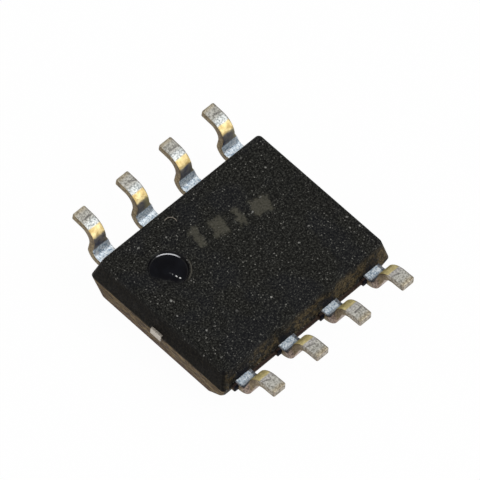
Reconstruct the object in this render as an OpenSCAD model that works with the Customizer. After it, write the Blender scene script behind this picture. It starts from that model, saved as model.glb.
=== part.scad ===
// Eight-lead small-outline package, lying on its marking face with its leads turned up.
// Origin: middle of the marking face. +X runs along the lead rows, +Y across them, +Z to the solder feet.
// Lead 1 is at the +X end of the -Y row; the count runs along that row and back along the +Y row.

/* [Moulded body] */
// Length of the body at its parting line, along the lead rows
body_l = 4.95; // [4.8:0.05:5.2]
// Width of the body at its parting line, across the lead rows
body_w = 3.94; // [3.8:0.02:4.2]
// Height of the marking half, from its flat face to the middle of the lead frame
marking_h = 0.80; // [0.74:0.02:0.94]
// Height of the board half, from the middle of the lead frame to its flat face
board_h = 0.60; // [0.54:0.02:0.74]
// Draft of the moulded side faces in degrees
draft = 14; // [8:1:18]
// Radius of the body's four upright corners
corner_r = 0.10; // [0.05:0.01:0.2]
// Width of the bevel along the marking face's edge beside lead 1
bevel = 0.40; // [0.25:0.05:0.5]

/* [Mould marks] */
// Diameter of the round ejector mark in the board face
ejector_d = 0.88; // [0.6:0.02:1]
// Depth of the ejector mark
ejector_depth = 0.07; // [0.04:0.01:0.1]
// Place of the ejector mark along the rows
ejector_x = -1.46; // [-1.6:0.02:-1]
// Place of the ejector mark across the rows
ejector_y = 0.72; // [0.4:0.02:1]
// Diameter of the lead 1 dimple in the marking face
dimple_d = 0.50; // [0.3:0.02:0.6]
// Depth of the lead 1 dimple
dimple_depth = 0.05; // [0.03:0.01:0.08]
// Distance of the dimple's middle from the flat marking face's two nearest edges
dimple_inset = 0.55; // [0.4:0.05:0.8]
// How far the resin flash between the leads stands proud of the parting line
flash_out = 0.06; // [0.03:0.01:0.1]
// Thickness of the flash at its edge
flash_t = 0.05; // [0.03:0.01:0.08]
// How far the resin left by the dam bar stands out beside each lead of the lead 1 row
dam_resin_out = 0.10; // [0.08:0.01:0.15]
// Width of the resin left by the dam bar
dam_resin_w = 0.09; // [0.06:0.01:0.15]

/* [Leads] */
// Distance between neighbouring leads
lead_pitch = 1.27; // [1.24:0.01:1.3]
// Thickness of the lead frame's sheet
lead_t = 0.18; // [0.16:0.01:0.2]
// Width of a lead at its shoulder, as far as the dam bar's cut
shoulder_w = 0.48; // [0.44:0.01:0.54]
// Width of a lead from the dam bar's cut to its toe
foot_w = 0.35; // [0.32:0.01:0.42]
// Distance from toe to toe across the two rows
lead_span = 5.94; // [5.8:0.02:6.2]
// Height of the solder plane over the board face
standoff = 0.18; // [0.1:0.01:0.25]
// Straight length of the shoulder outside the body
shoulder_l = 0.10; // [0.08:0.01:0.14]
// Inside radius of the bend at the shoulder
shoulder_bend_r = 0.16; // [0.12:0.01:0.2]
// Inside radius of the bend at the heel of the foot
heel_bend_r = 0.27; // [0.2:0.01:0.3]
// Slope of the riser between the two bends, in degrees
riser_slope = 80; // [76:1:86]
// Slope of the foot towards the board, in degrees
foot_slope = 4; // [0:1:8]
// Least straight length of the foot, which the bend at the heel leaves it
foot_least = 0.14; // [0.1:0.01:0.2]
// How far round the shoulder bend the dam bar's cut starts, in degrees
dam_cut = 72; // [50:2:76]
// Length of the slanting edge that the dam bar's cut leaves
dam_taper = 0.16; // [0.1:0.01:0.2]
// Radius of the toe's two corners
toe_r = 0.04; // [0.02:0.01:0.08]

/* [Lead frame inside the body] */
// Width of a lead's finger inside the body
finger_w = 0.60; // [0.56:0.02:0.66]
// Depth inside the body at which a lead widens to its finger
finger_step = 0.16; // [0.12:0.02:0.24]
// Diameter of the lock hole through each finger
lock_d = 0.20; // [0.14:0.02:0.26]
// Depth of the lock hole's middle inside the body
lock_in = 0.40; // [0.34:0.02:0.46]
// Gap in plan between the fingers and the die paddle or its tie bars
frame_gap = 0.25; // [0.2:0.01:0.3]
// Width of the die paddle across the rows
paddle_w = 1.90; // [1.8:0.05:2]
// How far the paddle is set towards the board face from the leads
downset = 0.20; // [0.18:0.01:0.22]
// Width of the two tie bars
tie_w = 0.30; // [0.2:0.02:0.36]
// How far a tie bar's cut end stands proud of the body
tie_stub = 0.03; // [0.01:0.01:0.05]

/* [Silicon die and wires] */
// Length of the die along the rows
die_l = 1.70; // [1.4:0.05:2]
// Width of the die across the rows
die_w = 1.30; // [1:0.05:1.5]
// Thickness of the die
die_t = 0.25; // [0.2:0.01:0.28]
// Thickness of the die attach layer
attach_t = 0.025; // [0.02:0.005:0.03]
// How far the die attach spreads past the die
attach_spread = 0.06; // [0.03:0.01:0.1]
// Diameter of the bond wire
wire_d = 0.03; // [0.025:0.001:0.038]
// Diameter of the ball bond on the die
ball_d = 0.08; // [0.07:0.005:0.1]
// Height of the ball bond
ball_h = 0.02; // [0.015:0.001:0.03]
// How far a wire's loop is drawn out from the die
loop_h = 0.34; // [0.28:0.02:0.4]
// Length of wire that lies flat on the finger at the stitch bond
stitch_l = 0.06; // [0.04:0.01:0.08]
// Distance of the outer bond pads from the die's edges
pad_inset = 0.12; // [0.08:0.01:0.16]
// Distance of a stitch bond from the finger's edges
land_inset = 0.12; // [0.1:0.01:0.15]

/* [Hidden] */
PER_ROW = 4;
COUNT = 2 * PER_ROW;
$fn = 48;
CORNER_STEPS = 6;
BEND_STEPS = 12;
WIRE_SIDES = 8;
LOOP_STEPS = 10;

// Heights of the stack, from the marking face up
frame_z = marking_h;
board_z = marking_h + board_h;
solder_z = board_z + standoff;
finger_low_z = frame_z - lead_t / 2;
paddle_mid_z = frame_z + downset;
paddle_low_z = paddle_mid_z - lead_t / 2;
die_top_z = paddle_low_z - attach_t;
die_face_z = die_top_z - die_t;

// Drafted half sizes of the two flat faces
marking_in = marking_h * tan(draft);
board_in = board_h * tan(draft);

// The formed lead in side view, [out across the row, up], from the middle of the lead frame:
// two bends and a straight riser along the middle of the sheet, then the foot to the toe
shoulder_rc = shoulder_bend_r + lead_t / 2;
shoulder_centre = [body_w / 2 + shoulder_l, shoulder_rc];
toe = [lead_span / 2, solder_z - frame_z] - lead_t / 2 * [sin(foot_slope), cos(foot_slope)];
turn_back = riser_slope - foot_slope;
heel_reach = toe - foot_least * along(foot_slope) - shoulder_centre - shoulder_rc * below(riser_slope);
heel_room = cross(heel_reach, along(riser_slope)) / (1 - cos(turn_back));
heel_rc = min(heel_bend_r + lead_t / 2, heel_room);
bends = (shoulder_rc + heel_rc) * below(riser_slope) - heel_rc * below(foot_slope);
straights = toe - shoulder_centre - bends;
riser_l = cross(along(foot_slope), straights) / cross(along(foot_slope), along(riser_slope));
heel_centre = shoulder_centre + (shoulder_rc + heel_rc) * below(riser_slope) + riser_l * along(riser_slope);

// Lead frame plan inside the body
corner_x = (PER_ROW - 1) / 2 * lead_pitch;
inner_x = corner_x - lead_pitch;
paddle_l = 2 * (corner_x - finger_w / 2 - frame_gap);
inner_tip_y = paddle_w / 2 + frame_gap;
corner_tip_y = tie_w / 2 + frame_gap;

// Which row and place a lead's number stands for: lead 1 is at +X on the -Y side
function row(i) = i <= PER_ROW ? -1 : 1;
function place(i) = i <= PER_ROW ? (PER_ROW + 1) / 2 - i : i - (3 * PER_ROW + 1) / 2;
function lead_x(i) = place(i) * lead_pitch;
function at_corner(i) = abs(place(i)) > 1;
function end_sign(i) = sign(place(i));

// Directions in the lead's side view: along the sheet where it has this slope, and square to it, downwards
function along(slope) = [cos(slope), sin(slope)];
function below(slope) = [sin(slope), -cos(slope)];

// ---- Shapes used by several pieces ----

module along_x(length) {
    rotate([90, 0, 90]) translate([0, 0, -length / 2]) linear_extrude(length) children();
}

module along_y(length) {
    rotate([90, 0, 0]) translate([0, 0, -length / 2]) linear_extrude(length) children();
}

// Turns what is drawn for the +Y side to face the given side
module facing(side) {
    mirror([0, side < 0 ? 1 : 0, 0]) children();
}

function reversed(points) = [for (k = [len(points) - 1 : -1 : 0]) points[k]];

// Skin over a row of rings, each with the same number of points
module swept(rings) {
    sides = len(rings[0]);
    last = len(rings) - 1;
    polyhedron(
        points = [for (loop = rings) for (p = loop) p],
        faces = concat(
            [[for (k = [0 : sides - 1]) k]],
            [
                for (j = [0 : last - 1]) for (k = [0 : sides - 1])
                    let (a = j * sides + k, b = j * sides + (k + 1) % sides)
                        [a, a + sides, b + sides, b]
            ],
            [[for (k = [sides - 1 : -1 : 0]) last * sides + k]]
        )
    );
}

// ---- Moulded body ----

// A level outline of the moulding: a rectangle with round corners, drawn in from the parting line
function outline(inset, z) = [
    for (quarter = [0 : 3]) for (k = [0 : CORNER_STEPS])
        let (
            a = 90 * (quarter + k / CORNER_STEPS),
            middle = [body_l / 2 - inset - corner_r, body_w / 2 - inset - corner_r]
        )
        [
            sign(cos(90 * quarter + 45)) * middle[0] + corner_r * cos(a),
            sign(sin(90 * quarter + 45)) * middle[1] + corner_r * sin(a),
            z
        ]
];

// What the bevel takes off the marking face's -Y edge, at 45 degrees
module edge_bevel() {
    start_y = bevel + marking_in - body_w / 2;
    along_x(2 * body_l)
        translate([start_y, 0])
            polygon([[marking_h, -marking_h], [-marking_h, marking_h], [-marking_h, -marking_h]]);
}

module moulding() {
    difference() {
        swept([outline(marking_in, 0), outline(0, frame_z), outline(board_in, board_z)]);
        edge_bevel();
    }
}

// Resin squeezed out at the parting line: a tapered fin across each gap between two leads
module flash_fins() {
    root = flash_t + 2 * flash_out;
    half_fin = [[-flash_out, root / 2], [flash_out, flash_t / 2]];
    fin = concat(half_fin, [for (p = reversed(half_fin)) [p[0], -p[1]]]);
    for (side = [-1, 1], gap = [1 : PER_ROW - 1])
        translate([(gap - PER_ROW / 2) * lead_pitch, side * body_w / 2, frame_z])
            facing(side) along_x(lead_pitch - shoulder_w) polygon(fin);
}

// Resin left where the dam bar was punched away, on one side of each lead of the lead 1 row
module dam_resin() {
    reach = dam_resin_out + flash_out;
    for (i = [1 : PER_ROW])
        translate([lead_x(i) - shoulder_w / 2 - dam_resin_w, -body_w / 2 - dam_resin_out, finger_low_z])
            cube([dam_resin_w, reach, lead_t]);
}

module ejector_mark() {
    floor_d = ejector_d - ejector_depth;
    translate([ejector_x, ejector_y, board_z - ejector_depth])
        cylinder(h = 2 * ejector_depth, d1 = floor_d, d2 = 2 * ejector_d - floor_d);
}

module lead_one_dimple() {
    edge_x = body_l / 2 - marking_in;
    edge_y = body_w / 2 - marking_in - bevel;
    translate([edge_x - dimple_inset, dimple_inset - edge_y, -dimple_depth])
        cylinder(h = 2 * dimple_depth, d = dimple_d);
}

module moulded_body() {
    color("#1d1b18")
        difference() {
            union() {
                moulding();
                flash_fins();
                dam_resin();
            }
            ejector_mark();
            lead_one_dimple();
            die_paddle();
            die_attach();
            silicon_die();
            cavity_bridges();
            for (i = [1 : COUNT]) {
                lead(i);
                bond_wire(i);
            }
        }
}

// ---- Leads ----

// One face of the formed sheet in side view: 1 is the face towards the board, -1 the other
function formed_line(tip_y, face) = let (offset = face * lead_t / 2) concat(
    [[tip_y, offset]],
    [
        for (k = [0 : BEND_STEPS])
            shoulder_centre + (shoulder_rc - offset) * below(riser_slope * k / BEND_STEPS)
    ],
    [
        for (k = [0 : BEND_STEPS])
            heel_centre - (heel_rc + offset) * below(riser_slope - turn_back * k / BEND_STEPS)
    ],
    [toe - offset * below(foot_slope)]
);

module formed_strip(tip_y) {
    along_x(shoulder_w) polygon(concat(formed_line(tip_y, 1), reversed(formed_line(tip_y, -1))));
}

// What the punch takes off both edges of the sheet: a slant at the dam bar, then straight to the toe
module dam_bar_cut() {
    reach = lead_span;
    step = (shoulder_w - foot_w) / 2;
    slant = [[foot_w / 2 + 2 * step, -dam_taper], [foot_w / 2, dam_taper]];
    translate([0, shoulder_centre[0], shoulder_centre[1]])
        rotate([dam_cut, 0, 0])
            for (side = [-1, 1])
                mirror([side < 0 ? 1 : 0, 0, 0])
                    linear_extrude(reach, center = true)
                        polygon(concat(slant, [[foot_w / 2, reach], [reach, reach], [reach, -dam_taper]]));
}

// What rounds the toe's two corners
module toe_corners() {
    translate([0, toe[0], toe[1]])
        rotate([foot_slope, 0, 0])
            for (side = [-1, 1])
                mirror([side < 0 ? 1 : 0, 0, 0])
                    translate([foot_w / 2 - toe_r, -toe_r, -lead_t])
                        linear_extrude(2 * lead_t) difference() {
                            square(2 * toe_r);
                            circle(toe_r);
                        }
}

// The finger inside the body, wider than the shoulder and pierced so that the resin locks it
module finger(tip_y) {
    step_y = body_w / 2 - finger_step;
    translate([-finger_w / 2, tip_y, -lead_t / 2]) cube([finger_w, step_y - tip_y, lead_t]);
}

module lead(i) {
    tip_y = at_corner(i) ? corner_tip_y : inner_tip_y;
    color("#b9b8b0")
        translate([lead_x(i), 0, frame_z]) facing(row(i))
            difference() {
                union() {
                    finger(tip_y);
                    formed_strip(tip_y);
                }
                dam_bar_cut();
                toe_corners();
                translate([0, body_w / 2 - lock_in, 0]) cylinder(h = 2 * lead_t, d = lock_d, center = true);
            }
}

// ---- Die paddle, die and wires ----

// A tie bar's edge line: from the paddle, down the 45 degree jog to the leads' level, out of the body's end
function tie_line(face) = let (
    mitre = face * lead_t / 2 * tan(22.5),
    jog_x = paddle_l / 2 + lead_t,
    z = face * lead_t / 2
) [
    [0, paddle_mid_z + z],
    [jog_x + mitre, paddle_mid_z + z],
    [jog_x + downset + mitre, frame_z + z],
    [body_l / 2 + tie_stub, frame_z + z]
];

module tie_bar() {
    along_y(tie_w) polygon(concat(tie_line(1), reversed(tie_line(-1))));
}

module die_paddle() {
    color("#c9a27c") {
        translate([0, 0, paddle_mid_z]) cube([paddle_l, paddle_w, lead_t], center = true);
        tie_bar();
        mirror([1, 0, 0]) tie_bar();
    }
}

module die_attach() {
    spread = 2 * attach_spread;
    color("#d8d8d2")
        translate([-(die_l + spread) / 2, -(die_w + spread) / 2, die_top_z])
            cube([die_l + spread, die_w + spread, attach_t]);
}

module silicon_die() {
    color("#56606b") translate([-die_l / 2, -die_w / 2, die_face_z]) cube([die_l, die_w, die_t]);
}

// Where a wire starts on the die and where it ends on its finger, in plan
function die_pad(i) = at_corner(i)
    ? [end_sign(i) * (die_l / 2 - pad_inset), row(i) * die_w / 4]
    : [end_sign(i) * die_l / 4, row(i) * (die_w / 2 - pad_inset)];
function landing(i) = at_corner(i)
    ? [end_sign(i) * (corner_x - finger_w / 2 + land_inset), row(i) * (corner_tip_y + land_inset)]
    : [end_sign(i) * inner_x, row(i) * (inner_tip_y + land_inset)];

function bezier(p, t) = pow(1 - t, 3) * p[0] + 3 * pow(1 - t, 2) * t * p[1]
    + 3 * (1 - t) * t * t * p[2] + pow(t, 3) * p[3];
function bezier_slope(p, t) = 3 * pow(1 - t, 2) * (p[1] - p[0])
    + 6 * (1 - t) * t * (p[2] - p[1]) + 3 * t * t * (p[3] - p[2]);

// One ring round the wire: a point of its path, the path's direction and a radius, all in the loop's plane
function ring(at, along, r) = let (n = [along[1], -along[0]] / norm(along)) [
    for (k = [0 : WIRE_SIDES - 1])
        let (a = (k + 0.5) * 360 / WIRE_SIDES)
            [at[0] + r * cos(a) * n[0], r * sin(a), at[1] + r * cos(a) * n[1]]
];

// The wire's rings: the ball on the die, the loop, and the stitch flat on the finger
function wire_rings(length) = let (
    r = wire_d / 2,
    flat_z = finger_low_z - r * cos(180 / WIRE_SIDES),
    neck = [0, die_face_z - 1.5 * ball_h],
    stitch = [length - stitch_l, flat_z],
    loop = [neck, neck - [0, loop_h], stitch - [length / 2, 0], stitch],
    down = [0, -1],
    out = [1, 0]
) concat(
    [
        ring([0, die_face_z], down, ball_d / 2),
        ring([0, die_face_z - ball_h], down, ball_d / 2),
        ring(neck, down, r)
    ],
    [for (k = [1 : LOOP_STEPS]) let (t = k / LOOP_STEPS) ring(bezier(loop, t), bezier_slope(loop, t), r)],
    [ring([length, flat_z], out, r)]
);

// Bridges the hairlines between sealed pieces that touch, so that one cavity holds them all
module cavity_bridges() {
    bridge = wire_d / 4;
    translate([-die_l / 2, -die_w / 2, die_face_z + die_t / 2])
        cube([die_l, die_w, paddle_mid_z - die_face_z - die_t / 2]);
    for (i = [1 : COUNT]) {
        run = landing(i) - die_pad(i);
        stitch = landing(i) - stitch_l / 2 * run / norm(run);
        translate([die_pad(i)[0], die_pad(i)[1], die_face_z]) cube(bridge, center = true);
        translate([stitch[0], stitch[1], finger_low_z]) cube(bridge, center = true);
    }
}

module bond_wire(i) {
    run = landing(i) - die_pad(i);
    color("#e2b53c")
        translate(concat(die_pad(i), 0))
            rotate([0, 0, atan2(run[1], run[0])])
                swept(wire_rings(norm(run)));
}

moulded_body();
die_paddle();
die_attach();
silicon_die();
for (i = [1 : COUNT]) {
    lead(i);
    bond_wire(i);
}
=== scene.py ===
import math

import bmesh
import bpy
from mathutils import Matrix, Vector
from mathutils.bvhtree import BVHTree

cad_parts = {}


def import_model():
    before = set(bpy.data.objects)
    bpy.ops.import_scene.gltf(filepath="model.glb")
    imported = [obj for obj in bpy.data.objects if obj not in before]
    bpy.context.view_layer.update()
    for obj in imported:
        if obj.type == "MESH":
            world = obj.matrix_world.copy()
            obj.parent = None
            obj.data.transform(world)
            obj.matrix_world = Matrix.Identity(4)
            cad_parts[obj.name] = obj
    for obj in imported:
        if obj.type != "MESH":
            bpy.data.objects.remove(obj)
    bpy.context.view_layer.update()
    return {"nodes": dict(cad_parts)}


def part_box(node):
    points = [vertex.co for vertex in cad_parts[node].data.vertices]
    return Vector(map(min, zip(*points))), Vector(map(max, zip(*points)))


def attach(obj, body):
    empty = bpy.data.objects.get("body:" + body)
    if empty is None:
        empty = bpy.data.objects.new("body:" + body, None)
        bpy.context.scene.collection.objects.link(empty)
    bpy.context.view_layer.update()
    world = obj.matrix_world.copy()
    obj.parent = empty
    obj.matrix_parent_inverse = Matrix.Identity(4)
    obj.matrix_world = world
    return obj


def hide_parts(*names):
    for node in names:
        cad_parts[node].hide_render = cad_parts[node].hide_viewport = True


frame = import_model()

MM = 0.001

# The lead frame's sheet and the marks that the mould leaves, as the CAD model has them
SHEET = 0.18 * MM
FLASH = 0.06 * MM
LEAD_PITCH = 1.27 * MM
EJECTOR_MIDDLE = Vector((-1.46, 0.72)) * MM
EJECTOR_RADIUS = 0.44 * MM
EJECTOR_DEPTH = 0.07 * MM

# How far the edges of the real pieces are rounded
RESIN_EDGE = 0.06 * MM
MARK_EDGE = 0.012 * MM
MARK_FILLET = 0.02 * MM
BLOCK_EDGE = 0.03 * MM
STAMPED_EDGE = 0.028 * MM

# The camera looks down on the board face from above the corner at -X -Y
CAMERA_AZIMUTH = -51.93
CAMERA_ELEVATION = 56.99
CAMERA_ROLL = 7.97
CAMERA_DISTANCE = 155.69 * MM
CAMERA_TARGET = Vector((0.447, 0.458, 0.8)) * MM
CAMERA_LENS = 558.95

# The floor and the light
FLOOR_REACH = 300 * MM
LAMP_DISTANCE = 300 * MM
WHITE = 1, 1, 1, 1
PAPER = 0.9, 0.9, 0.9, 1
VEIL = 0.97
SKY_LEVEL = 0.45

body_low, body_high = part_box("moulded_body")
lead_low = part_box("lead_1")[0]
board_z = body_high.z
toe_y = -lead_low.y
wall_y = body_high.y

# The same places in millimetres, for the finishes
PITCH = LEAD_PITCH / MM
MARK_MIDDLE = EJECTOR_MIDDLE.x / MM, EJECTOR_MIDDLE.y / MM
MARK_DEPTH = EJECTOR_DEPTH / MM
BOARD_Z = board_z / MM
FRAME_Z = (lead_low.z + SHEET / 2) / MM
BODY_X = body_high.x / MM
BODY_Y = (wall_y - FLASH) / MM


def paint(red, green, blue):
    """A colour given as a painter's 0 to 255 values, as the linear colour that a shader takes."""
    def linear(level):
        level /= 255
        return level / 12.92 if level <= 0.04045 else ((level + 0.055) / 1.055) ** 2.4
    return linear(red), linear(green), linear(blue), 1


# ---- Shader maths ----

class Value:
    """One output in a shader. Written into an expression on numbers, it adds the Math nodes."""

    def __init__(self, finish, socket):
        self.finish = finish
        self.socket = socket

    def __add__(self, other):
        return self.finish.maths("ADD", self, other)

    def __sub__(self, other):
        return self.finish.maths("SUBTRACT", self, other)

    def __mul__(self, other):
        return self.finish.maths("MULTIPLY", self, other)

    def __truediv__(self, other):
        return self.finish.maths("DIVIDE", self, other)

    def __rsub__(self, other):
        return self.finish.maths("SUBTRACT", other, self)

    __radd__ = __add__
    __rmul__ = __mul__

    def __abs__(self):
        return self.finish.maths("ABSOLUTE", self)

    def other(self, output):
        """Another output of the same node."""
        return Value(self.finish, self.socket.node.outputs[output])


class Finish:
    """A material or the world's light, built from the nodes that its shader expressions add."""

    def __init__(self, owner):
        owner.use_nodes = True
        self.owner = owner
        self.tree = owner.node_tree
        self.tree.nodes.clear()

    def node(self, kind, settings, sockets, output=0):
        """Adds a node: its settings are set first, then each socket's value or link."""
        made = self.tree.nodes.new(kind)
        for name, value in settings.items():
            setattr(made, name, value)
        for name, value in sockets.items():
            if isinstance(value, Value):
                self.tree.links.new(value.socket, made.inputs[name])
            else:
                made.inputs[name].default_value = value
        return Value(self, made.outputs[output]) if made.outputs else None

    def maths(self, operation, *values):
        return self.node("ShaderNodeMath", {"operation": operation}, dict(enumerate(values)))

    def places(self):
        """Object coordinates in millimetres, with x, y and z as numbers of their own."""
        at = self.node("ShaderNodeTexCoord", {}, {}, "Object")
        at = self.node("ShaderNodeVectorMath", {"operation": "SCALE"}, {0: at, "Scale": 1 / MM})
        x = self.node("ShaderNodeSeparateXYZ", {}, {0: at})
        return at, x, x.other(1), x.other(2)

    def facing(self):
        """The x, y and z of the surface's direction."""
        normal = self.node("ShaderNodeTexCoord", {}, {}, "Normal")
        x = self.node("ShaderNodeSeparateXYZ", {}, {0: normal})
        return x, x.other(1), x.other(2)

    def grain(self, at, size, detail=2, roughness=0.5):
        """Even noise from 0 to 1 whose lumps are about size millimetres across."""
        return self.node(
            "ShaderNodeTexNoise", {},
            {"Vector": at, "Scale": 1 / size, "Detail": detail, "Roughness": roughness},
        )

    def stretched(self, at, scale):
        """The same places, drawn out where the scale is less than 1."""
        return self.node("ShaderNodeMapping", {}, {"Vector": at, "Scale": scale})

    def flecks(self, at, size, low, high):
        """Ragged flecks of about this size: 1 where the noise is past high, 0 where it is under low."""
        return self.step(self.grain(at, size, 2, 0.6), low, high)

    def specks(self, at, spacing, radius, share):
        """Small specks: one in each cell of a loose grid, kept in this share of the cells."""
        cell = self.node("ShaderNodeTexVoronoi", {}, {"Vector": at, "Scale": 1 / spacing})
        chance = self.node("ShaderNodeSeparateColor", {}, {0: cell.other("Color")})
        ragged = cell + (self.grain(at, radius, 2) - 0.5) * (2 * radius / spacing)
        spot = self.step(ragged, radius / spacing, 0.5 * radius / spacing)
        return spot * self.maths("LESS_THAN", chance, share) * chance.other(1)

    def distance(self, x, y, middle_x, middle_y):
        """How far a place is from this middle, seen along z."""
        out = (x - middle_x) * (x - middle_x) + (y - middle_y) * (y - middle_y)
        return self.maths("SQRT", out)

    def step(self, value, low, high):
        """A soft step from 0 at low to 1 at high."""
        return self.node(
            "ShaderNodeMapRange", {"interpolation_type": "SMOOTHSTEP"},
            {"Value": value, "From Min": low, "From Max": high},
        )

    def between(self, value, low, high, soft):
        """1 between low and high, fading out over soft at both ends."""
        return self.step(value, low - soft, low + soft) * self.step(value, high + soft, high - soft)

    def blend(self, factor, under, over):
        """The colour under where the factor is 0 and over where it is 1."""
        return self.node(
            "ShaderNodeMix", {"data_type": "RGBA"}, {0: factor, 6: under, 7: over}, 2
        )

    def bump(self, height, depth):
        """A surface raised by height times depth millimetres."""
        return self.node("ShaderNodeBump", {}, {"Height": height, "Distance": depth * MM})

    def surface(self, **sockets):
        """Ends the material in one glossy surface with these sockets."""
        named = {name.replace("_", " "): value for name, value in sockets.items()}
        shader = self.node("ShaderNodeBsdfPrincipled", {}, named)
        self.node("ShaderNodeOutputMaterial", {}, {"Surface": shader})
        return self.owner


def new_finish(name):
    return Finish(bpy.data.materials.new(name))


# ---- Finishes ----

def moulded_resin():
    """Black epoxy resin, grainy with filler, its sides browned by dust and handling, with painted warm
    light at -Y and painted shade at -X and by the leads.
    """
    finish = new_finish("moulded_resin")
    at, x, y, z = finish.places()
    facing_x, facing_y, facing_z = finish.facing()
    fine = finish.grain(at, 0.045, 4, 0.7)
    coarse = finish.grain(at, 0.16, 3)
    broad = finish.grain(at, 0.9)
    body = finish.blend(finish.step(fine, 0.42, 0.72), paint(8, 8, 7), paint(56, 56, 52))
    body = finish.blend(finish.step(broad, 0.42, 0.62) * 0.3, body, paint(20, 22, 30))
    body = finish.blend(finish.flecks(at, 0.034, 0.58, 0.7) * 0.8, body, paint(84, 84, 79))
    body = finish.blend(finish.specks(at, 0.07, 0.017, 0.5), body, paint(128, 127, 121))
    colour = finish.blend(finish.specks(at, 0.2, 0.03, 0.3), body, paint(156, 155, 150))

    # Painted shade darkens the board half downwards at the -X end. The -Y side has brown dust between the
    # leads, painted lighter olive as if lit warm from -Y, and painted shade where the leads rise past it
    board_half = finish.step(z, FRAME_Z - 0.02, FRAME_Z + 0.02)
    lower_half = 1 - board_half
    below_rim = finish.step(z, BOARD_Z - 0.02, BOARD_Z - 0.26)
    to_row = finish.step(facing_y * -1, 0.15, 0.85)
    to_end = finish.step(facing_x * -1, 0.15, 0.85)
    gaps = finish.maths("COSINE", x * (math.tau / PITCH)) * 0.5 + 0.5
    # Dust and painted warm light: the -Y side is painted lighter olive-brown in patches between the leads
    dusty_lit_patches = finish.step(coarse + gaps * 0.08 + x * 0.04, 0.47, 0.62)
    dust_and_warm_light = finish.blend(finish.step(fine, 0.38, 0.64), paint(34, 28, 19), paint(92, 80, 56))
    colour = finish.blend(to_row * below_rim * (dusty_lit_patches * 0.75 + 0.12), colour, dust_and_warm_light)
    # Painted shade: dark navy on the -Y wall where each lead rises past it
    lead_shade = finish.step(gaps, 0.3, 0.05) * finish.step(z, 1.2, 0.95)
    colour = finish.blend(to_row * board_half * lead_shade * 0.8, colour, paint(12, 13, 22))
    # Painted shade: the -X end's board half is painted darker downwards from the rim
    dark = finish.blend(finish.step(fine, 0.4, 0.7), paint(7, 6, 5), paint(34, 30, 24))
    colour = finish.blend(to_end * below_rim * board_half * 0.92, colour, dark)

    # The marking half of the end at -X is rubbed brown in streaks along it
    streaks = finish.grain(finish.stretched(at, (1, 0.2, 1)), 0.06, 4, 0.65)
    brown = finish.blend(finish.step(streaks, 0.36, 0.64), paint(44, 28, 20), paint(134, 116, 84))
    brown = finish.blend(finish.step(coarse, 0.5, 0.64) * 0.8, brown, paint(62, 44, 32))
    colour = finish.blend(to_end * finish.step(z, FRAME_Z + 0.03, FRAME_Z - 0.06), colour, brown)
    rim = finish.step(z, 0.32, 0.05) * (to_end + to_row)
    colour = finish.blend(rim * 0.6, colour, paint(72, 40, 30))
    colour = finish.blend(finish.step(facing_y, 0.4, 0.8) * 0.4, colour, paint(50, 36, 30))

    # Reddish flash at the parting line, and smooth resin where the dam bar was punched away
    flash = finish.step(finish.maths("MAXIMUM", abs(x) - BODY_X, abs(y) - BODY_Y), 0, 0.02)
    colour = finish.blend(flash * 0.7, colour, finish.blend(fine, paint(26, 20, 17), paint(74, 56, 48)))
    colour = finish.blend(finish.step(abs(y) - BODY_Y, 0.06, 0.065), colour, paint(12, 13, 22))

    # The rubbed smudges that a removed marking leaves, in a row turned a little against the leads
    top = finish.step(facing_z, 0.8, 0.95)
    smudged = rubbed_smudges(finish, at, x, y) * top * (0.6 - finish.step(fine, 0.5, 0.4) * 0.2)
    colour = finish.blend(smudged, colour, paint(84, 82, 72))

    # A short pale scratch in an arc near the rear edge, and the bruise beside the ejector mark
    around = finish.distance(x, y, -0.62, 1.5)
    scratch = finish.between(around, 0.125, 0.135, 0.008) * finish.step(x + y, 0.9, 0.98) * top
    colour = finish.blend(scratch * 0.8, colour, paint(170, 160, 146))
    from_mark = finish.distance(x, y, *MARK_MIDDLE)
    bruise = finish.between(from_mark, 0.465, 0.485, 0.01) * finish.between(x - y, -1.6, -1.45, 0.05)
    colour = finish.blend(bruise * top * 0.6, colour, paint(94, 91, 82))

    rough = 0.6 - finish.step(coarse, 0.45, 0.75) * 0.12
    return finish.surface(
        Base_Color=colour, Roughness=rough, Specular_IOR_Level=0.05,
        Normal=finish.bump(fine + coarse * 0.5, 0.01),
    )


def rubbed_smudges(finish, at, x, y):
    """1 inside four ragged smudges in a row, 0 elsewhere."""
    tilt = math.radians(-12)
    ragged = (finish.grain(at, 0.14, 3) - 0.5) * 0.3
    along = x * math.cos(tilt) + y * math.sin(tilt) + ragged
    across = y * math.cos(tilt) - x * math.sin(tilt) + ragged
    smudges = ((-0.64, 0.18, 0.5), (-0.1, 0.36, 0.42), (0.4, 0.16, 0.48), (0.94, 0.44, 0.4))
    covered = 0
    for middle, width, height in smudges:
        smudge = finish.between(along, middle - width / 2, middle + width / 2, 0.05)
        smudge = smudge * finish.between(across, 0.74 - height / 2, 0.74 + height / 2, 0.06)
        covered = smudge + covered
    return covered


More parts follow.
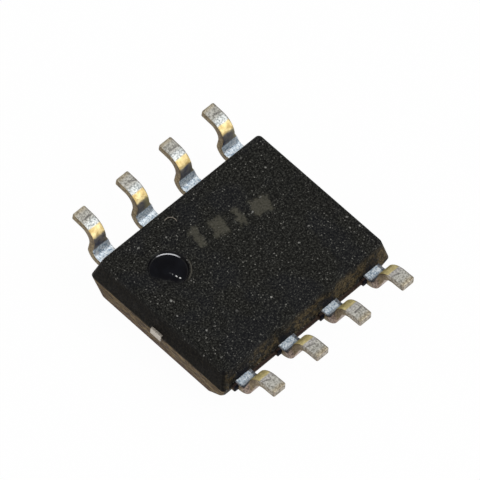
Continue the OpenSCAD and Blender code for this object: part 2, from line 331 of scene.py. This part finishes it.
def ejector_floor():
    """The smooth floor of the ejector mark, pressed by a polished pin, with one scratch across it whose
    glints are painted.
    """
    finish = new_finish("ejector_floor")
    at, x, y, _ = finish.places()
    fine = finish.grain(at, 0.045, 4, 0.7)
    turned = finish.grain(at, 0.25)
    colour = finish.blend(finish.step(turned, 0.4, 0.7), paint(2, 2, 6), paint(9, 10, 16))

    # The side nearest the corner at -X -Y kept the grain of the resin
    to_corner = (MARK_MIDDLE[0] - x) * 0.79 + (MARK_MIDDLE[1] - y) * 0.62
    grainy = finish.step(to_corner + turned * 0.2, 0.28, 0.44)
    resin = finish.blend(finish.step(fine, 0.42, 0.72), paint(8, 8, 7), paint(70, 70, 66))
    colour = finish.blend(grainy * 0.9, colour, resin)

    # A broken scratch from the middle towards -Y, with painted glints that are brightest where it ends
    along = (MARK_MIDDLE[1] - y) * 0.95 + (x - MARK_MIDDLE[0]) * 0.31
    aside = (x - MARK_MIDDLE[0]) * 0.95 - (MARK_MIDDLE[1] - y) * 0.31
    glinting_scratch = finish.step(abs(aside + 0.04), 0.02, 0.008) * finish.between(along, 0.03, 0.31, 0.02)
    glinting_scratch = glinting_scratch * finish.maths("MAXIMUM", finish.step(fine, 0.5, 0.58), finish.step(along, 0.27, 0.29))
    colour = finish.blend(glinting_scratch * finish.step(along, 0, 0.3), colour, paint(250, 250, 248))
    return finish.surface(
        Base_Color=colour, Roughness=0.22 + grainy * 0.3, Specular_IOR_Level=0.06,
        Normal=finish.bump(turned + fine * grainy, 0.006),
    )


def ejector_wall():
    """The mark's wall and the fillet at its foot, as glossy as the pin's edge left them."""
    finish = new_finish("ejector_wall")
    at, x, y, z = finish.places()
    chips = finish.grain(at, 0.06, 3)
    colour = finish.blend(finish.step(chips, 0.4, 0.7), paint(2, 2, 4), paint(16, 16, 16))

    # A painted highlight: the foot of the wall is painted bright on the side away from the corner at -X -Y
    foot = finish.step(z, BOARD_Z - MARK_DEPTH + 0.022, BOARD_Z - MARK_DEPTH + 0.014)
    away = (x - MARK_MIDDLE[0]) * 0.7 + (y - MARK_MIDDLE[1]) * 0.7
    painted_foot_highlight = foot * finish.step(away + chips * 0.08, 0.34, 0.42)
    colour = finish.blend(painted_foot_highlight, colour, paint(214, 214, 218))
    return finish.surface(
        Base_Color=colour, Roughness=0.2 + finish.step(chips, 0.5, 0.7) * 0.2,
        Specular_IOR_Level=0.12, Normal=finish.bump(chips, 0.003),
    )


def lead_station(finish):
    """How far across and along its lead a place is: y and z only grow from the body to the toe."""
    at, x, y, z = finish.places()
    across = (finish.maths("FRACT", x / PITCH) - 0.5) * PITCH
    return at, x, y, z, across, abs(y) + z


def tinned_sheet():
    """Dull tin over copper, with painted shade in the first bend, a painted warm reflection round the
    heel, and the dents and scratches of handling.
    """
    finish = new_finish("tinned_sheet")
    at, x, y, _, across, run = lead_station(finish)
    _, facing_y, facing_z = finish.facing()
    fine = finish.grain(at, 0.042, 4, 0.65)
    blotch = finish.grain(at, 0.12, 2)
    run = run + (blotch - 0.5) * 0.06
    far = finish.step(y, -0.1, 0.1)
    near = 1 - far
    lead_number = finish.maths("FLOOR", x / PITCH) + far * 7
    own = finish.node("ShaderNodeTexWhiteNoise", {"noise_dimensions": "1D"}, {"W": lead_number})

    def speckled(dark, light):
        return finish.blend(finish.step(fine, 0.36, 0.62), dark, light)

    def blotched(dark, light):
        return finish.blend(finish.step(blotch, 0.3, 0.7), dark, light)

    crystals = finish.blend(finish.step(fine, 0.3, 0.62), paint(112, 142, 168), paint(240, 248, 253))
    # Painted shade in the first bend, with a painted olive highlight on the right side of the far leads
    bend_shade_and_highlight = blotched(paint(72, 74, 88), paint(122, 118, 112))
    bend_shade_and_highlight = finish.blend(finish.step(across + own * 0.3, 0.22, 0.4) * far, bend_shade_and_highlight, paint(150, 142, 106))
    # Painted warm reflection round the heel, brighter on the far leads
    near_warm_reflection = blotched(paint(164, 150, 98), paint(206, 190, 130))
    far_warm_reflection = blotched(paint(190, 164, 104), paint(236, 216, 158))
    gold = finish.blend(far, near_warm_reflection, far_warm_reflection)
    near_pale = speckled(paint(132, 128, 124), paint(190, 187, 182))
    far_pale = speckled(paint(126, 132, 132), paint(218, 221, 219))
    pale = finish.blend(far, near_pale, far_pale)
    grey = speckled(paint(116, 114, 106), paint(186, 184, 176))
    worn = speckled(paint(112, 102, 84), paint(176, 167, 146))

    colour = finish.blend(finish.step(run + near * 0.24, 3.27, 3.33), crystals, bend_shade_and_highlight)
    colour = finish.blend(finish.step(run + near * 0.12, 3.6, 3.7), colour, gold)
    colour = finish.blend(finish.step(run - near * 0.08, 3.94, 4.0), colour, pale)
    colour = finish.blend(finish.step(run, 4.1, 4.26), colour, grey)
    colour = finish.blend(finish.step(run, 4.38, 4.5), colour, worn)

    # Painted shade over both edges of the near shoulders
    shoulder_edge_shade = finish.step(abs(across + 0.02), 0.16, 0.19) * near * finish.step(run, 3.2, 3.05)
    colour = finish.blend(shoulder_edge_shade * 0.85, colour, speckled(paint(34, 35, 40), paint(104, 106, 112)))

    # A dark scratch across each foot at a place of its own, and the darker edge on the punch's far side
    line = abs(run + across * (own - 0.5) - 4.2 - own * 0.12)
    scratch = finish.step(line, 0.034, 0.01) * finish.step(abs(across + 0.1 - own * 0.2), 0.15, 0.07)
    colour = finish.blend(scratch * 0.65, colour, paint(66, 62, 60))
    burr = finish.step(across, 0.125, 0.165) * finish.step(run, 3.7, 3.95)
    colour = finish.blend(burr * 0.65, colour, paint(74, 62, 50))

    # The face towards the marking side is tarnished brown
    outward = facing_y * finish.maths("SIGN", y)
    under = finish.step(outward - facing_z, 0.1, 0.5)
    colour = finish.blend(under * 0.85, colour, blotched(paint(104, 84, 72), paint(176, 152, 138)))

    return finish.surface(
        Base_Color=colour, Metallic=0.45, Roughness=0.4 - finish.step(fine, 0.5, 0.7) * 0.14,
        Normal=finish.bump(fine + blotch, 0.008),
    )


def sheared_edge():
    """The sheet's punched edges: bare copper alloy under a brown skin, streaked by the punch."""
    finish = new_finish("sheared_edge")
    at, _, y, z, _, run = lead_station(finish)
    streaks = finish.grain(at, 0.05, 3, 0.6)
    blotch = finish.grain(at, 0.14)
    colour = finish.blend(finish.step(streaks, 0.3, 0.7), paint(92, 78, 54), paint(152, 136, 106))
    colour = finish.blend(finish.between(run, 3.5, 3.9, 0.2) * 0.4, colour, paint(90, 72, 52))
    colour = finish.blend(finish.step(blotch, 0.5, 0.7) * 0.5, colour, paint(72, 56, 42))

    # On the near leads the tin reached the upper part of the feet, and the cut side of the first bend
    # carries a painted pinkish highlight
    near = finish.step(y, 0.1, -0.1)
    tin = finish.blend(finish.step(streaks, 0.36, 0.64), paint(118, 110, 96), paint(188, 182, 172))
    foot = finish.step(z, 1.42, 1.46) * finish.step(run, 3.9, 4.05)
    colour = finish.blend(near * foot * 0.8, colour, tin)
    bend_highlight = finish.blend(finish.step(streaks, 0.36, 0.64), paint(96, 82, 76), paint(180, 158, 146))
    bend = finish.between(run, 3.02, 3.4, 0.06)
    colour = finish.blend(near * bend * 0.8, colour, bend_highlight)
    return finish.surface(
        Base_Color=colour, Metallic=0.6, Roughness=0.5, Normal=finish.bump(streaks, 0.006),
    )


def copper_strip():
    """The lead frame's copper alloy, rolled along the rows and plated with silver in the middle."""
    finish = new_finish("copper_strip")
    at, x, _, _ = finish.places()
    lines = finish.grain(finish.stretched(at, (0.12, 1, 1)), 0.03, 3)
    cut_end = finish.step(abs(x), 2.4, 2.46)
    copper = finish.blend(lines, paint(176, 128, 96), paint(222, 176, 140))
    silver = finish.blend(lines, paint(196, 196, 190), paint(228, 228, 222))
    colour = finish.blend(finish.step(abs(x), 1.3, 1.2), copper, silver)
    colour = finish.blend(cut_end, colour, finish.blend(lines, paint(150, 140, 128), paint(206, 200, 190)))
    return finish.surface(
        Base_Color=colour, Metallic=0.9, Roughness=0.38, Normal=finish.bump(lines, 0.003),
    )


def silver_glue():
    """Silver-filled die attach: grey flakes in resin."""
    finish = new_finish("silver_glue")
    at = finish.places()[0]
    flakes = finish.grain(at, 0.02, 3, 0.7)
    colour = finish.blend(finish.step(flakes, 0.35, 0.7), paint(150, 150, 146), paint(222, 222, 218))
    return finish.surface(
        Base_Color=colour, Metallic=0.6, Roughness=0.5, Normal=finish.bump(flakes, 0.006),
    )


def silicon_circuit():
    """Polished silicon whose face carries blocks of fine wiring."""
    finish = new_finish("silicon_circuit")
    at, x, _, _ = finish.places()
    facing_z = finish.facing()[2]
    blocks = finish.node(
        "ShaderNodeTexVoronoi", {"distance": "CHEBYCHEV"}, {"Vector": at, "Scale": 5}, "Color"
    )
    tone = finish.node("ShaderNodeSeparateColor", {}, {0: blocks})
    wiring = finish.step(finish.maths("SINE", (x + tone * 0.3) * 260), -0.4, 0.4)
    circuit = finish.blend(tone, paint(74, 84, 104), paint(122, 112, 96))
    circuit = finish.blend(wiring * 0.4, circuit, paint(168, 160, 140))
    sawn = finish.blend(finish.grain(at, 0.03), paint(70, 76, 84), paint(112, 118, 124))
    colour = finish.blend(finish.step(facing_z * -1, 0.5, 0.8), sawn, circuit)
    return finish.surface(Base_Color=colour, Metallic=0.5, Roughness=0.28)


def gold_wire():
    """Drawn gold with a faint grain."""
    finish = new_finish("drawn_gold")
    at = finish.places()[0]
    grain = finish.grain(at, 0.02)
    colour = finish.blend(grain, paint(214, 160, 52), paint(244, 200, 92))
    return finish.surface(Base_Color=colour, Metallic=1.0, Roughness=0.26)


# ---- Pieces ----

def merged_copy(node):
    """A CAD node's mesh with its loose triangles merged and its flat faces made whole."""
    shape = bmesh.new()
    shape.from_mesh(frame["nodes"][node].data)
    bmesh.ops.remove_doubles(shape, verts=shape.verts, dist=1e-5 * MM)
    bmesh.ops.dissolve_limit(shape, angle_limit=math.radians(0.5), verts=shape.verts, edges=shape.edges)
    return shape


def finished_piece(shape, name, node, materials):
    """A piece made from a shape, which stands for its CAD node."""
    mesh = bpy.data.meshes.new(name)
    for face in shape.faces:
        face.smooth = True
    for edge in shape.edges:
        edge.smooth = len(edge.link_faces) < 2 or edge.calc_face_angle() < math.radians(40)
    shape.to_mesh(mesh)
    shape.free()
    for material in materials:
        mesh.materials.append(material)
    piece = bpy.data.objects.new(name, mesh)
    bpy.context.scene.collection.objects.link(piece)
    even = piece.modifiers.new("even shading", "WEIGHTED_NORMAL")
    even.keep_sharp = True
    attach(piece, "root")
    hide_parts(node)
    return piece


def round_edges(shape, edges, width, segments):
    bmesh.ops.bevel(
        shape, geom=edges, offset=width, segments=segments, profile=0.5,
        affect="EDGES", material=-1, clamp_overlap=False,
    )


def outer_faces(shape):
    """The faces that look out into the open, and not into a cavity."""
    tree = BVHTree.FromBMesh(shape)
    lift = 0.001 * MM
    return {
        face for face in shape.faces
        if tree.ray_cast(face.calc_center_median() + lift * face.normal, face.normal)[0] is None
    }


def body():
    """The moulding with its edges rounded and the ejector mark polished."""
    shape = merged_copy("moulded_body")
    outer = outer_faces(shape)
    flat = 0.001 * MM
    floor_z = board_z - EJECTOR_DEPTH

    def from_mark(point):
        return (point.xy - EJECTOR_MIDDLE).length

    def is_level(edge, height):
        return all(abs(v.co.z - height) < flat for v in edge.verts)

    faces, rims, fillets, blocks = [], [], [], []
    for edge in shape.edges:
        if not outer.issuperset(edge.link_faces) or edge.calc_face_angle() < 0.5:
            continue
        middle = (edge.verts[0].co + edge.verts[1].co) / 2
        in_mark = from_mark(middle) < 1.2 * EJECTOR_RADIUS
        on_face = abs(middle.x) < 0.85 * body_high.x and abs(middle.y) < 0.8 * wall_y
        if is_level(edge, board_z):
            (rims if in_mark else faces).append(edge)
        elif is_level(edge, floor_z) and in_mark:
            fillets.append(edge)
        elif is_level(edge, 0):
            (rims if on_face and edge.calc_length() < 2 * RESIN_EDGE else faces).append(edge)
        elif middle.y < body_low.y + 0.3 * FLASH:
            blocks.append(edge)
    round_edges(shape, faces, RESIN_EDGE, 4)
    round_edges(shape, rims, MARK_EDGE, 2)
    round_edges(shape, fillets, MARK_FILLET, 3)
    round_edges(shape, blocks, BLOCK_EDGE, 3)
    for face in shape.faces:
        middle = face.calc_center_median()
        in_mark = from_mark(middle) < 1.2 * EJECTOR_RADIUS and middle.z > floor_z - flat
        if in_mark and middle.z < board_z - MARK_EDGE / 2:
            face.material_index = 1 if face.normal.z > 0.97 else 2
        else:
            face.material_index = 0
    finishes = [moulded_resin(), ejector_floor(), ejector_wall()]
    return finished_piece(shape, "resin_moulding", "moulded_body", finishes)


def formed_lead(number, finishes):
    """A lead with its stamped edges rounded outside the body."""
    node = f"lead_{number}"
    shape = merged_copy(node)

    def is_stamped(edge):
        outside = max(abs(v.co.y) for v in edge.verts) > wall_y
        return outside and edge.calc_face_angle() > math.radians(35)

    round_edges(shape, [edge for edge in shape.edges if is_stamped(edge)], STAMPED_EDGE, 4)
    for face in shape.faces:
        outward = abs(face.calc_center_median().y)
        toe_end = outward > toe_y - 0.02 * MM and abs(face.normal.y) > 0.8
        face.material_index = 1 if abs(face.normal.x) > 0.8 or toe_end else 0
    return finished_piece(shape, f"formed_lead_{number}", node, finishes)


def dress_inner_pieces(lead_count):
    """Finishes for the CAD solids that the resin holds."""
    frame["nodes"]["die_paddle"].material_slots[0].material = copper_strip()
    frame["nodes"]["die_attach"].material_slots[0].material = silver_glue()
    frame["nodes"]["silicon_die"].material_slots[0].material = silicon_circuit()
    gold = gold_wire()
    for number in range(1, lead_count + 1):
        frame["nodes"][f"bond_wire_{number}"].material_slots[0].material = gold


# ---- Setting ----

def seen_directly(finish):
    """1 for the camera and for what metal or glass shows, 0 for the light on the object."""
    camera = finish.node("ShaderNodeLightPath", {}, {}, "Is Camera Ray")
    seen = finish.maths("MAXIMUM", camera, camera.other("Is Glossy Ray"))
    return finish.maths("MAXIMUM", seen, camera.other("Is Transmission Ray"))


def floor():
    """A white sheet under the object, which keeps a faint shadow."""
    sheet = bmesh.new()
    bmesh.ops.create_grid(sheet, x_segments=1, y_segments=1, size=FLOOR_REACH)
    mesh = bpy.data.meshes.new("floor")
    sheet.to_mesh(mesh)
    sheet.free()
    piece = bpy.data.objects.new("floor", mesh)
    bpy.context.scene.collection.objects.link(piece)
    finish = new_finish("white_paper")
    paper = finish.node("ShaderNodeBsdfDiffuse", {}, {"Color": PAPER})
    veil = finish.node("ShaderNodeEmission", {}, {"Color": WHITE, "Strength": 1})
    lit = finish.node("ShaderNodeMixShader", {}, {0: seen_directly(finish) * VEIL, 1: paper, 2: veil})
    finish.node("ShaderNodeOutputMaterial", {}, {"Surface": lit})
    mesh.materials.append(finish.owner)


def from_angle(azimuth, elevation, roll):
    """Axes of a camera or lamp that looks at the object from this azimuth and elevation."""
    turn, lift, lean = (math.radians(a) for a in (azimuth, elevation, roll))
    back = Vector((math.sin(turn) * math.cos(lift), -math.cos(turn) * math.cos(lift), math.sin(lift)))
    right = Vector((math.cos(turn), math.sin(turn), 0))
    up = back.cross(right)
    level = Matrix((right, up, back)).transposed()
    return level @ Matrix.Rotation(lean, 3, "Z"), back


def put(name, data, azimuth, elevation, roll, distance, target):
    axes, back = from_angle(azimuth, elevation, roll)
    thing = bpy.data.objects.new(name, data)
    thing.matrix_world = Matrix.Translation(target + distance * back) @ axes.to_4x4()
    bpy.context.scene.collection.objects.link(thing)
    return thing


def camera():
    data = bpy.data.cameras.new("camera")
    data.lens = CAMERA_LENS
    data.clip_start = 1 * MM
    thing = put(
        "camera", data, CAMERA_AZIMUTH, CAMERA_ELEVATION, CAMERA_ROLL, CAMERA_DISTANCE, CAMERA_TARGET
    )
    bpy.context.scene.camera = thing


def lamp(name, azimuth, elevation, size, level):
    """A square soft box. Level is the brightness that it gives a white surface that faces it."""
    data = bpy.data.lights.new(name, "AREA")
    data.size = size
    data.energy = level * (math.pi * LAMP_DISTANCE) ** 2
    put(name, data, azimuth, elevation, 0, LAMP_DISTANCE, Vector((0, 0, board_z)))


def world():
    sky = bpy.data.worlds.new("studio")
    finish = Finish(sky)
    strength = SKY_LEVEL + seen_directly(finish) * (1 - SKY_LEVEL)
    glow = finish.node("ShaderNodeBackground", {}, {"Color": WHITE, "Strength": strength})
    finish.node("ShaderNodeOutputWorld", {}, {"Surface": glow})
    bpy.context.scene.world = sky


bpy.context.scene.view_settings.view_transform = "Standard"
camera()
world()
floor()
lamp("window", 40, 60, 260 * MM, 0.35)
lamp("reflector", 20, 25, 220 * MM, 0.3)
lamp("rear_fill", 200, 50, 260 * MM, 0.15)
lamp("spark", -60, 34, 50 * MM, 0.12)

body()
tinned, sheared = tinned_sheet(), sheared_edge()
leads = [name for name in frame["nodes"] if name.startswith("lead_")]
for number in range(1, len(leads) + 1):
    formed_lead(number, [tinned, sheared])
dress_inner_pieces(len(leads))
